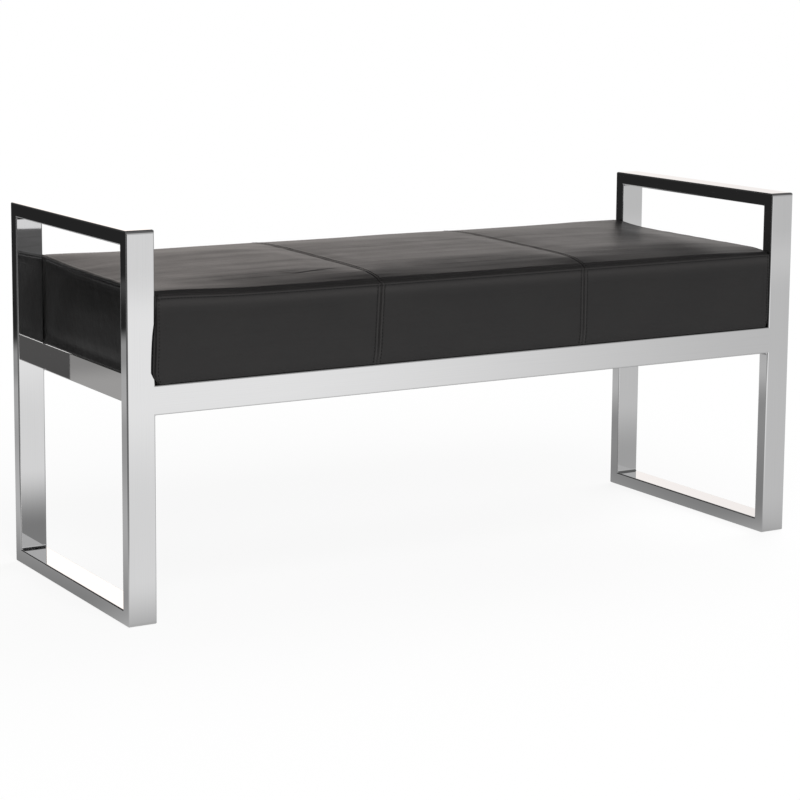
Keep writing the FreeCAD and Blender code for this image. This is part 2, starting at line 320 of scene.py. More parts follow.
def plain_steel(tint):
    """Zinc-plated steel: dull, mottled and faintly spangled."""
    finish, board = new_finish("plain_steel_finish")
    place = board.place()
    spangle = board.node("ShaderNodeTexVoronoi", {}, {"Vector": place, "Scale": 260.0}, output="Color")
    mottle = board.noise(place, scale=90.0, detail=4.0, roughness=0.6)
    flake = board.axis(spangle, "X")
    base = board.tint(0.35 * flake + 0.4 * mottle, [c * 0.8 for c in tint], tint)
    board.painted({
        "Base Color": base, "Metallic": 1.0, "Roughness": 0.30 + 0.22 * mottle,
        "Normal": board.bump(mottle, distance=0.0001, strength=0.25)})
    return finish


def black_leather(tint, lighter_tone):
    """Coated black leather: fine pebbled grain and soft lengthwise pull lines, with painted shade in the
    seams, the stitch rows and at the foot, and lighter strips beside the seams that are part wear and part
    painted highlight.
    """
    finish, board = new_finish("black_leather_finish")
    place = board.place()
    pebble = board.node("ShaderNodeTexVoronoi", {"feature": "SMOOTH_F1"},
                        {"Vector": place, "Scale": 820.0, "Smoothness": 0.6}, output="Distance")
    pores = board.noise(place, scale=1900.0, detail=2.0, roughness=0.6)
    pull = board.noise(board.stretched(place, (5.0, 70.0, 55.0)), scale=1.0, detail=3.0, roughness=0.55)
    cloud = board.noise(place, scale=14.0, detail=3.0, roughness=0.6)
    # seam_shade darkens the leather with painted shade in the seam grooves and stitch rows, with some dirt
    # in the rows, and at the foot
    seam = board.node("ShaderNodeAttribute", {"attribute_name": "seam_shade"}, output="Fac")
    lighter_strip = board.node("ShaderNodeAttribute", {"attribute_name": "seam_wear"}, output="Fac")
    grain = 0.7 * pebble + 0.3 * pores
    base = board.tint(board.ease(cloud, 0.3, 0.75), tint, lighter_tone)
    # A lighter strip beside the seams and rows: part wear, part painted highlight
    base = board.tint(0.8 * lighter_strip, base, [c * 1.9 for c in lighter_tone])
    shaded = board.tint(0.75 * seam, base, [c * 0.35 for c in tint])
    rough = 0.32 + 0.09 * cloud + 0.06 * pebble + 0.15 * seam
    drawn = board.bump(pull, distance=0.0016, strength=0.35)
    board.painted({
        "Base Color": shaded, "Roughness": rough, "IOR": 1.45,
        "Normal": board.bump(grain, distance=0.00022, strength=0.30, under=drawn)})
    return finish


def sewing_thread(tint):
    """Twisted black thread."""
    finish, board = new_finish("thread_finish")
    twist = board.noise(board.place(), scale=2600.0, detail=1.0)
    board.painted({
        "Base Color": board.tint(twist, [c * 0.6 for c in tint], [min(1.0, c * 1.5) for c in tint]),
        "Roughness": 0.55 + 0.2 * twist, "Normal": board.bump(twist, distance=0.0002, strength=0.4)})
    return finish


def dust_cloth(tint):
    """Black spun cloth: pressed fibres with a fine dot pattern."""
    finish, board = new_finish("dust_cloth_finish")
    place = board.place()
    fibre = board.noise(board.stretched(place, (900.0, 420.0, 900.0)), scale=1.0, detail=4.0, roughness=0.65)
    dots = board.node("ShaderNodeTexVoronoi", {}, {"Vector": place, "Scale": 520.0, "Randomness": 0.1},
                      output="Distance")
    weave = 0.6 * fibre + 0.4 * board.ease(dots, 0.15, 0.45)
    board.painted({
        "Base Color": board.tint(weave, [c * 0.6 for c in tint], [c * 1.9 for c in tint]),
        "Roughness": 0.80 + 0.12 * fibre, "Normal": board.bump(weave, distance=0.0003, strength=0.5)})
    return finish


def plywood(tint, dark):
    """Birch plywood: long face grain, and plies that show on the edges."""
    finish, board = new_finish("plywood_finish")
    place = board.place()
    grain = board.noise(board.stretched(place, (9.0, 160.0, 160.0)), scale=1.0, detail=4.0, roughness=0.6)
    cloud = board.noise(place, scale=6.0, detail=2.0)
    base = board.tint(board.ease(grain, 0.38, 0.66) * 0.7 + 0.25 * cloud, tint, dark)
    board.painted({
        "Base Color": base, "Roughness": 0.62 + 0.15 * grain,
        "Normal": board.bump(grain, distance=0.0003, strength=0.4)})
    return finish


def moulded_nylon(tint):
    """Moulded nylon glide: matt, slightly scuffed."""
    finish, board = new_finish("nylon_finish")
    scuff = board.noise(board.place(), scale=320.0, detail=4.0, roughness=0.6)
    board.painted({
        "Base Color": board.tint(scuff, tint, [c * 1.6 for c in tint]),
        "Roughness": 0.45 + 0.2 * scuff, "Normal": board.bump(scuff, distance=0.0002, strength=0.3)})
    return finish


def dress(names, finish):
    """Gives CAD nodes a finish."""
    for name in names:
        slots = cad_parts[name].data.materials
        slots.clear()
        slots.append(finish)


def add_piece(name, points, faces, finish, smooth=True):
    """A new mesh object at the origin with its place in its mesh."""
    mesh = bpy.data.meshes.new(name)
    mesh.from_pydata([tuple(p) for p in points], [], faces)
    mesh.validate()
    mesh.polygons.foreach_set("use_smooth", [smooth] * len(mesh.polygons))
    if finish is not None:
        mesh.materials.append(finish)
    piece = bpy.data.objects.new(name, mesh)
    bpy.context.scene.collection.objects.link(piece)
    return piece


def ease(value, low, high):
    """0 below low, 1 above high and smooth between; the other way round where low is the higher."""
    t = np.clip((value - low) / (high - low), 0.0, 1.0)
    return t * t * (3.0 - 2.0 * t)


def hill(value, width):
    """A smooth hill of height 1 about 0."""
    return np.exp(-(value / width) ** 2)


def band(value, limits):
    """1 within limits, each a pair for ease, and 0 outside them."""
    return np.prod([ease(value, low, high) for low, high in limits], axis=0)


def soft_noise(points, stretch):
    """Smooth noise from -1 to 1 at each point, with each axis stretched."""
    return np.array([noise.noise(Vector(p)) for p in points * np.asarray(stretch)])


TINY = 1e-9

# The cover's mesh: its rows about a seam in metres, its rows in the rolled edge and the tuck as shares, the
# share of a step that stays free beside closer rows, and the coarse copy's rows, step and inset
SEAM_STEPS = np.array((0.0, 0.7, 1.5, 2.4, 3.4, 4.3, 5.0, 5.7, 6.4, 7.1, 8.0, 9.6)) * MM
ROLL_SHARES = np.array((0.0, 0.07, 0.15, 0.25, 0.35, 0.43, 0.50, 0.57, 0.65, 0.76, 0.88, 1.0))
TUCK_SHARES = np.array((0.0, 0.25, 0.55, 1.0))
CLOSE_REACH = 0.45
COARSE_ROLL_SHARES = np.array((0.0, 0.5, 1.0))
COARSE_STEP = 0.016
COARSE_INSET = 0.001

# The top: places along and across are shares of the half length and the half depth; lifts start at a height
# above the seat's base
CROWN_POWER = 4
CROWN_SOFTNESS = 0.9
LIFT_START = 0.03
REAR_LIFT_ACROSS = (-0.5, 0.9)
REAR_LIFT_ALONG = (0.98, 0.80)
CORNER_LIFTS = ((-1, -1, 3.6 * MM, 0.38), (-1, 1, 3.4 * MM, 0.38), (1, 1, 5.6 * MM, 0.25))
CORNER_LIFT_ALONG = 0.17
END_FALL = 1.2 * MM
END_FALL_ALONG = 0.10
END_FALL_ACROSS = 1.2
FRONT_FALL_START = 0.79
FRONT_FALL_RUN = 0.16
FRONT_FALL_LEAST = 0.30
FRONT_FALL_MORE = ((0.70, -0.95, -0.65), (0.20, 0.70, 0.95))

# The sides and ends: UP is a pair of heights above the seat's base, ACROSS a pair of distances behind its
# middle, and FACE how squarely the leather faces that way where something begins and is whole
CORNER_FILL_UP = (0.0, 0.016)
SHOULDER_POWER = 4
END_FACE = (0.80, 0.97)
FOOT_FILL = 2.3 * MM
FOOT_FILL_UP = (0.012, 0.0)
END_SLACK = 3.5 * MM
END_SLACK_ACROSS = (0.160, 0.197)
END_SLACK_UP = (0.020, 0.055)
SIDE_FACE = (0.2, 0.9)
SIDE_FILL_UP = (0.0, 0.02)
SIDE_FILL_POWER = 4
FRONT_FACE = (0.3, 0.8)
SEAM_LEAN = 5.5 * MM
SEAM_LEAN_MIDDLE = 0.55
SEAM_LEAN_RUN = 0.07

# The fuller lower corner at the left front, and how far it pulls the corner's seam round
BULGE_ALONG = 0.030
BULGE_ACROSS = 0.020
BULGE_FORWARD = 3.6 * MM
BULGE_FORWARD_UP = ((0.150, 0.050), (-0.004, 0.007))
BULGE_SIDEWAYS = 6.6 * MM
BULGE_SIDEWAYS_UP = ((0.140, 0.020), (-0.001, 0.014))
BULGE_PROUD = (-0.3 * MM, 2.2 * MM)
SEAM_PULL = 3.5 * MM
SEAM_PULL_HEIGHT = 0.040
SEAM_PULL_RUN = 0.050

# The sewing: widths and places in metres; depths, painted shades and the widths of seams as shares
SEWN_FACE = (0.6, 0.75)
SEWN_END_FACE = (0.75, 0.95)
SEWN_EDGE = (1.2 * MM, -0.2 * MM)
ROW_WIDTH = 1.0 * MM
ROW_SHADE = 0.65
ROW_SHADE_WIDTH = 0.9 * MM
ROW_TOP_LIMIT = 0.5
TOP_ROW_DEPTH = 0.5
TOP_SEAM_DEPTH = 0.6
TOP_SEAM_WIDTH = 0.7
TOP_SEAM_SHADE = 0.8
TOP_SEAM_SHADE_WIDTH = 0.9
SEAM_SHADE = 0.40
SEAM_SHADE_WIDTH = 1.1
SEAM_TOP_LIMIT = 0.8
LONG_SEAM_DEPTH = 0.5
TIGHT_SEAM_DEPTH = 0.25
FOOT_SEAM_LOSS = 0.55
FOOT_SEAM_UP = (0.025, 0.012)
FOOT_SHADE = 0.35
FOOT_SHADE_UP = (0.012, 0.002)
LIP_PLACE = 3.2 * MM
LIP_WIDTH = 1.7 * MM
ON_FACE = 0.1 * MM
# Lighter strips beside the seams and rows: part wear, part a painted highlight of the puffed leather there
LIGHTER_BESIDE_SEAM = (2.7 * MM, 1.3 * MM)
LIGHTER_BESIDE_ROW = ((-6.0 * MM, 5.5 * MM), (2.6 * MM, 1.8 * MM))

# The soft creases, as features to a metre along each axis, and the one sharper crease in the left panel
CREASED_FACE = (0.3, 0.9)
CREASE_STRETCH = (7.0, 42.0, 24.0)
DENT_STRETCH = (16.0, 22.0, 20.0)
DENT_SHIFT = 3.1
TOP_CREASES = 0.75
TOP_DENTS = 0.35
SIDE_DENTS = 0.5
FOLD_RUN = ((-0.290, -0.131), (-0.276, -0.145), (-0.252, -0.140), (-0.222, -0.134), (-0.196, -0.132))
FOLD_ROW = -0.138
FOLD_START = (-0.010, 0.020)
FOLD_END = (0.006, -0.03)
FOLD_VALLEY_WIDTH = 1.6 * MM
FOLD_RISE = 0.6
FOLD_RISE_PLACE = 5.0 * MM
FOLD_RISE_WIDTH = 4.0 * MM

# Room beside the legs and round the seat board
LEG_INNER_PLAY = 0.5 * MM
LEG_OUTER_PLAY = 0.2 * MM
LEG_GAP = 0.1 * MM
BOARD_CORNER_WALL = 0.6 * MM

# The simulated swell: what is held still, in metres and in cells, and how the cloth behaves
HELD_SEAM_RISE = 0.002
HELD_CELLS = 0.6
HELD_CORNER = 0.014
HELD_FOOT = 0.008
HELD_RIM = 0.016
HELD_RIM_DROP = 0.006
SWELL_FRAMES = 20
SWELL_BLEND = 1e-5
CLOTH_RULES = {"quality": 6, "mass": 0.4, "tension_stiffness": 30.0, "compression_stiffness": 30.0,
               "shear_stiffness": 12.0, "bending_stiffness": 3.0, "use_pressure": True}


def spaced_lines(low, high, step, close_at, close_steps):
    """Sorted places from low to high: evenly spaced, with closer ones about each place in close_at."""
    lines = list(np.linspace(low, high, max(2, round((high - low) / step)) + 1))
    for place in close_at:
        reach = close_steps.max() + CLOSE_REACH * step
        lines = [v for v in lines if abs(v - place) > reach or v in (low, high)]
        for offset in close_steps:
            lines += [place + offset, place - offset]
    inside = [v for v in lines if low - TINY <= v <= high + TINY]
    return np.array(sorted(set(np.round(inside, 7))))


class SeatForm:
    """The leather seat's form: takes points on a plain box to the crowned, rolled and sewn cover."""

    def __init__(self, size, sewing):
        self.size = size
        self.sewing = sewing
        self.top = size.side_top + size.roll
        self.flat = np.array((size.half_length - size.roll, size.half_depth - size.roll))
        self.cross_seams = (size.seam_shift - size.panel_seam, size.seam_shift + size.panel_seam)
        self.swell = None

    def rows(self, step, fine):
        """The box's rows along, across and up."""
        size = self.size
        close = SEAM_STEPS if fine else np.array((0.0,))
        edge = (ROLL_SHARES if fine else COARSE_ROLL_SHARES)[1:] * size.roll
        flat_x, flat_y = self.flat
        along = spaced_lines(-flat_x, flat_x, step, self.cross_seams, close)
        across = spaced_lines(-flat_y, flat_y, step, (FOLD_ROW,), close)
        along = np.concatenate((-flat_x - edge[::-1], along, flat_x + edge))
        across = np.concatenate((-flat_y - edge[::-1], across, flat_y + edge))
        tuck = size.base + TUCK_SHARES * size.tuck
        wall = spaced_lines(tuck[-1], size.side_top, step, (size.side_top,), close)
        up = np.concatenate((tuck[:-1], wall, size.side_top + edge))
        return along, across, up

    def rounded(self, p):
        """Box points on the rounded box, and the way out there."""
        size = self.size
        inner = p.copy()
        inner[:, :2] = np.clip(p[:, :2], -self.flat, self.flat)
        inner[:, 2] = np.minimum(p[:, 2], size.side_top)
        out = p - inner
        normal = out / np.linalg.norm(out, axis=1, keepdims=True)
        place = inner + size.roll * normal
        deep = np.clip(size.base + size.tuck - p[:, 2], 0.0, size.tuck)
        inset = size.tuck - np.sqrt(size.tuck ** 2 - deep ** 2)
        place[:, :2] -= inset[:, None] * normal[:, :2]
        return place, normal

    def risen(self, p, on_top):
        """How far the filling lifts the cover: crown, higher rear and corners, lower front and right end."""
        size = self.size
        along = p[:, 0] / size.half_length
        across = p[:, 1] / size.half_depth
        upper = ease(p[:, 2] - size.base, LIFT_START, size.side_top - size.base)
        crown = (1.0 - along ** CROWN_POWER) * (1.0 - across ** CROWN_POWER) ** CROWN_SOFTNESS
        rise = size.crown * crown * on_top
        rise += size.rear_lift * ease(across, *REAR_LIFT_ACROSS) * ease(along, *REAR_LIFT_ALONG) * upper
        for side_x, side_y, lift, run in CORNER_LIFTS:
            rise += lift * upper * hill(along - side_x, CORNER_LIFT_ALONG) * hill(across - side_y, run)
        rise -= END_FALL * on_top * hill(along - 1.0, END_FALL_ALONG) * hill(across + 1.0, END_FALL_ACROSS)
        fall = np.clip((-across - FRONT_FALL_START) / FRONT_FALL_RUN, 0.0, 1.0) ** 2
        full = FRONT_FALL_LEAST
        for more, start, end in FRONT_FALL_MORE:
            full = full + more * ease(along, start, end)
        return rise - size.front_fall * fall * full * on_top

    def shaped(self, p):
        """The cover before its swell and its seams, and the way out there."""
        size = self.size
        place, normal = self.rounded(p)
        height = p[:, 2] - size.base
        along = p[:, 0] / size.half_length
        on_top = ease(p[:, 2], size.side_top, self.top)
        place[:, 2] += self.risen(p, on_top)
        corner = 2.0 * np.abs(normal[:, 0] * normal[:, 1]) * (1.0 - on_top) * ease(height, *CORNER_FILL_UP)
        place[:, :2] += (size.corner_fill * corner)[:, None] * normal[:, :2]
        shoulder = 2.0 * np.abs(normal[:, 0]) * np.clip(normal[:, 2], 0.0, 1.0)
        place += (size.end_fill * shoulder ** SHOULDER_POWER)[:, None] * normal
        end = ease(np.abs(normal[:, 0]), *END_FACE)
        full_foot = FOOT_FILL * end * ease(height, *FOOT_FILL_UP)
        slack = END_SLACK * end * ease(p[:, 1], *END_SLACK_ACROSS) * np.where(along < 0.0, 1.0, 0.0)
        slack = slack * ease(height, *END_SLACK_UP) * (1.0 - on_top)
        place[:, 0] += np.sign(along) * (full_foot - slack)
        wall = ease(np.abs(normal[:, 1]), *SIDE_FACE) * ease(height, *SIDE_FILL_UP)
        place[:, 1] += size.side_fill * (1.0 - along ** SIDE_FILL_POWER) * wall * np.sign(p[:, 1])
        front = ease(-normal[:, 1], *FRONT_FACE)
        lean = SEAM_LEAN * (height / (size.side_top - size.base) - SEAM_LEAN_MIDDLE)
        place[:, 0] += lean * front * hill(p[:, 0] - self.cross_seams[0], SEAM_LEAN_RUN) * (1.0 - on_top)
        return self.bulged(p, place), normal

    def bulged(self, p, place):
        """Adds the fuller lower corner at the left front, which laps over the leg's edge."""
        size = self.size
        height = p[:, 2] - size.base
        near = hill(p[:, 0] + size.half_length, BULGE_ALONG) * hill(p[:, 1] + size.half_depth, BULGE_ACROSS)
        place = place.copy()
        place[:, 1] -= BULGE_FORWARD * near * band(height, BULGE_FORWARD_UP)
        proud = ease(-place[:, 1] - size.half_depth, *BULGE_PROUD)
        place[:, 0] -= BULGE_SIDEWAYS * near * band(height, BULGE_SIDEWAYS_UP) * proud
        return place

    def corner_run(self, x, y, z):
        """How far the left front corner's seam is pulled round to the front by the fuller leather there."""
        left_front = np.where((x < 0.0) & (y < 0.0), 1.0, 0.0)
        return SEAM_PULL * left_front * hill(z - self.size.base - SEAM_PULL_HEIGHT, SEAM_PULL_RUN)

    def seams(self, p, normal):
        """How far the sewing moves the leather out at each point, how much painted shade lies there and how
        much lighter the leather is painted, part wear and part painted highlight.
        """
        size = self.size
        sewing = self.sewing
        x, y, z = p.T
        height = z - size.base
        front_or_back = ease(np.abs(normal[:, 1]), *SEWN_FACE)
        top = ease(normal[:, 2], *SEWN_FACE)
        at_end = ease(np.abs(normal[:, 0]), *SEWN_END_FACE)
        sewn = size.side_top + size.seam_lift
        boxing = ease(z - sewn, *SEWN_EDGE)
        out = np.zeros(len(p))
        shade = np.zeros(len(p))
        lighter_tone = np.zeros(len(p))
        lines = []
        for seam in self.cross_seams:
            across = x - seam
            lines.append((across, front_or_back * (1.0 - top)))
            out -= TOP_SEAM_DEPTH * size.groove * hill(across, TOP_SEAM_WIDTH * size.groove_width) * top
            dark = hill(across, TOP_SEAM_SHADE_WIDTH * size.groove_width) * top
            shade = np.maximum(shade, TOP_SEAM_SHADE * dark)
            right_row = np.maximum(TOP_ROW_DEPTH * top, front_or_back)
            out -= size.channel * hill(across - sewing.row_offset, ROW_WIDTH) * right_row
            out -= size.channel * hill(across + sewing.row_offset, ROW_WIDTH) * front_or_back * boxing
            row = hill(np.abs(across) - sewing.row_offset, ROW_SHADE_WIDTH)
            shade = np.maximum(shade, ROW_SHADE * row * front_or_back * boxing)
            offset, width = LIGHTER_BESIDE_SEAM
            lighter_tone = np.maximum(lighter_tone, hill(np.abs(across) - offset, width) * front_or_back * boxing)
        seam_height = sewn + (size.end_seam_rise - size.seam_lift) * at_end
        depth = LONG_SEAM_DEPTH + (1.0 - LONG_SEAM_DEPTH) * at_end
        lines.append((z - seam_height, np.where(top > SEAM_TOP_LIMIT, 0.0, depth)))
        below = z - seam_height + sewing.boxing_row
        upright = np.where(top > ROW_TOP_LIMIT, 0.0, 1.0) * (1.0 - at_end)
        out -= size.channel * hill(below, ROW_WIDTH) * upright
        shade = np.maximum(shade, ROW_SHADE * hill(below, ROW_SHADE_WIDTH) * upright)
        # Painted shade where the leather turns under at the foot
        shade = np.maximum(shade, FOOT_SHADE * ease(height, *FOOT_SHADE_UP))
        from_end = size.half_length - np.abs(x) - self.corner_run(x, y, z)
        from_face = size.half_depth - np.abs(y)
        tight = np.where((x < 0.0) & (y > 0.0), TIGHT_SEAM_DEPTH, 1.0)
        lines.append((np.hypot(from_end, from_face), boxing * tight))
        on_face = np.where(from_face < ON_FACE, 1.0, 0.0)
        out -= size.channel * hill(from_end - sewing.row_offset, ROW_WIDTH) * boxing * on_face
        shallow = 1.0 - FOOT_SEAM_LOSS * ease(height, *FOOT_SEAM_UP)
        for distance, where in lines:
            far = np.abs(distance)
            out -= size.groove * shallow * hill(far, size.groove_width) * where
            out += size.lip * hill(far - LIP_PLACE, LIP_WIDTH) * where
            shade = np.maximum(shade, SEAM_SHADE * hill(far, SEAM_SHADE_WIDTH * size.groove_width) * where)
        # Lighter beside the boxing seam and its row: part wear, part painted highlight
        for offset, width in LIGHTER_BESIDE_ROW:
            lighter_tone = np.maximum(lighter_tone, hill(below - offset, width) * upright)
        return out, shade, lighter_tone

    def creased(self, p, place, normal):
        """The soft creases that run along the seat, strongest on the top."""
        size = self.size
        top = ease(normal[:, 2], *CREASED_FACE)
        long_lines = soft_noise(place, CREASE_STRETCH)
        dents = soft_noise(place + DENT_SHIFT, DENT_STRETCH)
        on_top = (TOP_CREASES * long_lines + TOP_DENTS * dents) * top
        return size.crease * (on_top + SIDE_DENTS * dents * (1.0 - top)) + size.fold * self.folded(p) * top

    def folded(self, p):
        """The sharper crease in the left panel: a fine valley with a soft rise behind it."""
        run = np.array(FOLD_RUN)
        off = p[:, 1] - np.interp(p[:, 0], run[:, 0], run[:, 1])
        faded = ease(p[:, 0] - run[0, 0], *FOLD_START) * ease(p[:, 0] - run[-1, 0], *FOLD_END)
        rise = FOLD_RISE * hill(off - FOLD_RISE_PLACE, FOLD_RISE_WIDTH)
        return faded * (rise - hill(off, FOLD_VALLEY_WIDTH))

    def finished(self, p, detail=True):
        """Box points on the finished cover, the way out there, its painted shade and its lighter tone, part
        wear and part painted highlight.
        """
        place, normal = self.shaped(p)
        shade = np.zeros(len(p))
        lighter_tone = np.zeros(len(p))
        if self.swell is not None:
            place = place + self.swell(place)
        if detail:
            out, shade, lighter_tone = self.seams(p, normal)
            out = out + self.creased(p, place, normal)
            place = self.cleared(place + out[:, None] * normal)
        return place, normal, shade, lighter_tone

    def cleared(self, place):
        """Keeps the ends off the legs, apart from leather that stands proud of a leg's face."""
        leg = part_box("right_rear_leg")
        deep = np.abs(place[:, 1])
        beside = (deep > leg[0].y - LEG_INNER_PLAY) & (deep < leg[1].y + LEG_OUTER_PLAY)
        limit = np.where(beside, leg[0].x - LEG_GAP, np.inf)
        place[:, 0] = np.clip(place[:, 0], -limit, limit)
        return place

    def mesh(self, step, fine):
        """Box points and faces of the cover, open underneath, and how many points its foot has."""
        along, across, up = self.rows(step, fine)
        nx, ny, nz = len(along), len(across), len(up)
        ring = [(i, 0) for i in range(nx - 1)] + [(nx - 1, j) for j in range(ny - 1)]
        ring += [(i, ny - 1) for i in range(nx - 1, 0, -1)] + [(0, j) for j in range(ny - 1, 0, -1)]
        count = len(ring)
        edge = np.array([(along[i], across[j]) for i, j in ring])
        box = [np.column_stack((edge, np.full(count, z))) for z in up]
        inner = [(along[i], across[j], self.top) for i in range(1, nx - 1) for j in range(1, ny - 1)]
        box = np.concatenate(box + [np.array(inner)])
        faces = []
        for k in range(nz - 1):
            for c in range(count):
                n = (c + 1) % count
                faces.append((k * count + c, k * count + n, (k + 1) * count + n, (k + 1) * count + c))
        rim = {cell: (nz - 1) * count + c for c, cell in enumerate(ring)}

        def top_point(i, j):
            if (i, j) in rim:
                return rim[i, j]
            return nz * count + (i - 1) * (ny - 2) + j - 1

        for i in range(nx - 1):
            for j in range(ny - 1):
                cell = ((i, j), (i + 1, j), (i + 1, j + 1), (i, j + 1))
                faces.append(tuple(top_point(*corner) for corner in cell))
        return box, faces, count

    def board_room(self, edge):
        """The low and the high ring of the room that the cover leaves for the board."""
        size = self.size
        centre = np.clip(edge[:, :2], -self.flat, self.flat)
        way = edge[:, :2] - centre
        way = way / np.linalg.norm(way, axis=1, keepdims=True)
        wall = size.board_wall + BOARD_CORNER_WALL * np.abs(way[:, 0] * way[:, 1])
        plan = centre + (size.roll - wall)[:, None] * way
        heights = (size.base + size.hem_step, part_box("seat_board")[1].z + size.board_play)
        return [np.column_stack((plan, np.full(len(plan), z))) for z in heights]

    def closed(self, place, faces, count, room=()):
        """Adds the hem under the seat and closes it, round the room for the board where that is given."""
        size = self.size
        foot = place[:count]
        shrink = np.array((1.0 - size.hem / size.half_length, 1.0 - size.hem / size.half_depth, 1.0))
        hem = foot * shrink
        hem[:, 2] = foot[:, 2]
        step = hem + np.array((0.0, 0.0, size.hem_step))
        start = len(place)
        added = [hem, step, *room]
        rings = [range(count)]
        for k in range(len(added)):
            rings.append(range(start + k * count, start + (k + 1) * count))
        faces = list(faces)
        for outer, within in zip(rings, rings[1:]):
            for c in range(count):
                n = (c + 1) % count
                faces.append((outer[n], outer[c], within[c], within[n]))
        faces.append(tuple(reversed(rings[-1])))
        return np.concatenate((place, *added)), faces


def points_of(mesh):
    """A mesh's points, as rows of an array."""
    points = np.empty(len(mesh.vertices) * 3)
    mesh.vertices.foreach_get("co", points)
    return points.reshape(-1, 3)


def simulated_swell(form):
    """Blows up a coarse copy of the seat that is held at its seams; the result says how far places move."""
    size = form.size
    box, faces, count = form.mesh(COARSE_STEP, fine=False)
    place, normal, _, _ = form.finished(box, detail=False)
    points, faces = form.closed(place - COARSE_INSET * normal, faces, count)
    copy = add_piece("seat_swell_copy", points, faces, None)
    remesh = copy.modifiers.new("cells", "REMESH")
    remesh.mode = "VOXEL"
    remesh.voxel_size = size.voxel
    cells = bpy.data.meshes.new_from_object(copy.evaluated_get(bpy.context.evaluated_depsgraph_get()))
    copy.modifiers.clear()
    copy.data = cells
    rest = points_of(cells)
    x, y, z = rest.T
    from_end = size.half_length - np.abs(x)
    from_face = size.half_depth - np.abs(y)
    near_seam = np.minimum(np.abs(np.abs(x - size.seam_shift) - size.panel_seam),
                           np.abs(z - size.side_top - HELD_SEAM_RISE))
    rim = (np.minimum(from_end, from_face) < HELD_RIM) & (z > size.side_top - HELD_RIM_DROP)
    corner = np.hypot(from_end, from_face) < HELD_CORNER
    held = (near_seam < HELD_CELLS * size.voxel) | corner | (z < size.base + HELD_FOOT) | rim
    pins = copy.vertex_groups.new(name="sewn")
    pins.add([int(v) for v in np.flatnonzero(held)], 1.0, "REPLACE")
    cloth = copy.modifiers.new("filling", "CLOTH")
    rules = cloth.settings
    for rule, value in CLOTH_RULES.items():
        setattr(rules, rule, value)
    rules.uniform_pressure_force = size.pressure
    rules.vertex_group_mass = pins.name
    rules.effector_weights.gravity = 0.0
    cloth.collision_settings.use_collision = False
    cloth.point_cache.frame_start = 1
    cloth.point_cache.frame_end = SWELL_FRAMES
    scene = bpy.context.scene
    for number in range(1, SWELL_FRAMES + 1):
        scene.frame_set(number)
    blown = copy.evaluated_get(bpy.context.evaluated_depsgraph_get()).to_mesh()
    shift = points_of(blown) - rest
    far = np.linalg.norm(shift, axis=1)
    shift *= np.minimum(1.0, size.swell_cap / np.maximum(far, TINY))[:, None]
    corners = [tuple(f.vertices) for f in cells.polygons]
    tree = BVHTree.FromPolygons([Vector(p) for p in rest], corners)
    scene.frame_set(1)
    bpy.data.objects.remove(copy)

    def swell(places):
        moves = np.zeros_like(places)
        for index, p in enumerate(places):
            near, _, face, _ = tree.find_nearest(Vector(p))
            ids = list(corners[face])
            weight = 1.0 / (np.linalg.norm(rest[ids] - np.array(near), axis=1) + SWELL_BLEND)
            moves[index] = (shift[ids] * weight[:, None]).sum(axis=0) / weight.sum()
        return moves

    return swell


def make_seat_form(scene):
    form = SeatForm(scene.bench_seat, scene.bench_sewing)
    form.swell = simulated_swell(form)
    return form


# The seat's form, which the seat's step leaves here for the stitches
FORM = {}

# Polishing lines to a metre: across the brush, along it and on the welds
BRUSH_FINE = 900.0
BRUSH_COARSE = 7.0
BRUSH_WELD = 90.0


class BENCH_OT_frame(bpy.types.Operator):
    """Polish the tube frame and finish the fixings under the seat"""
    bl_idname = "bench.frame"
    bl_label = "Finish the frame"

    def execute(self, context):
        tints = context.scene.bench_finish
        fine, coarse, weld = BRUSH_FINE, BRUSH_COARSE, BRUSH_WELD
        dress(UPRIGHT_TUBES, polished_steel("polished_upright", tints.steel, (fine, fine, coarse)))
        dress(CROSS_TUBES, polished_steel("polished_cross", tints.steel, (fine, coarse, fine)))
        dress(END_RAILS, polished_steel("polished_end", tints.end_steel, (fine, coarse, fine)))
        dress(LONG_TUBES, polished_steel("polished_long", tints.steel, (coarse, fine, fine)))
        dress(POLISHED_WELDS, polished_steel("polished_weld", tints.steel, (weld, weld, weld)))
        dress(PLAIN_FIXINGS, plain_steel(tints.zinc))
        dress(("seat_board",), plywood(tints.wood, tints.wood_dark))
        dress(("foot_glides",), moulded_nylon(tints.glide))
        return {"FINISHED"}


class BENCH_OT_seat(bpy.types.Operator):
    """Make the padded leather seat with its sewn seams"""
    bl_idname = "bench.seat"
    bl_label = "Make the leather seat"

    def execute(self, context):
        size = context.scene.bench_seat
        tints = context.scene.bench_finish
        form = make_seat_form(context.scene)
        FORM["seat"] = form
        box, faces, count = form.mesh(size.step, fine=True)
        place, _, shade, lighter_tone = form.finished(box)
        points, faces = form.closed(place, faces, count, form.board_room(box[:count]))
        seat = add_piece("leather_seat", points, faces, black_leather(tints.leather, tints.leather_lighter))
        hem = np.zeros(len(points) - len(shade))
        for name, values in (("seam_shade", shade), ("seam_wear", lighter_tone)):
            layer = seat.data.attributes.new(name, "FLOAT", "POINT")
            layer.data.foreach_set("value", np.concatenate((values, hem)))
        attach(seat, BODY)
        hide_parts(*LEATHER_PANELS, *FILLING)
        return {"FINISHED"}


# The stitches: where a row starts and stops, its points, and how far the thread stands out
STITCH_FOOT = 0.004
STITCH_GAP = 2.5 * MM
STITCH_STEP = 4.0 * MM
THREAD_LIFT = 0.18


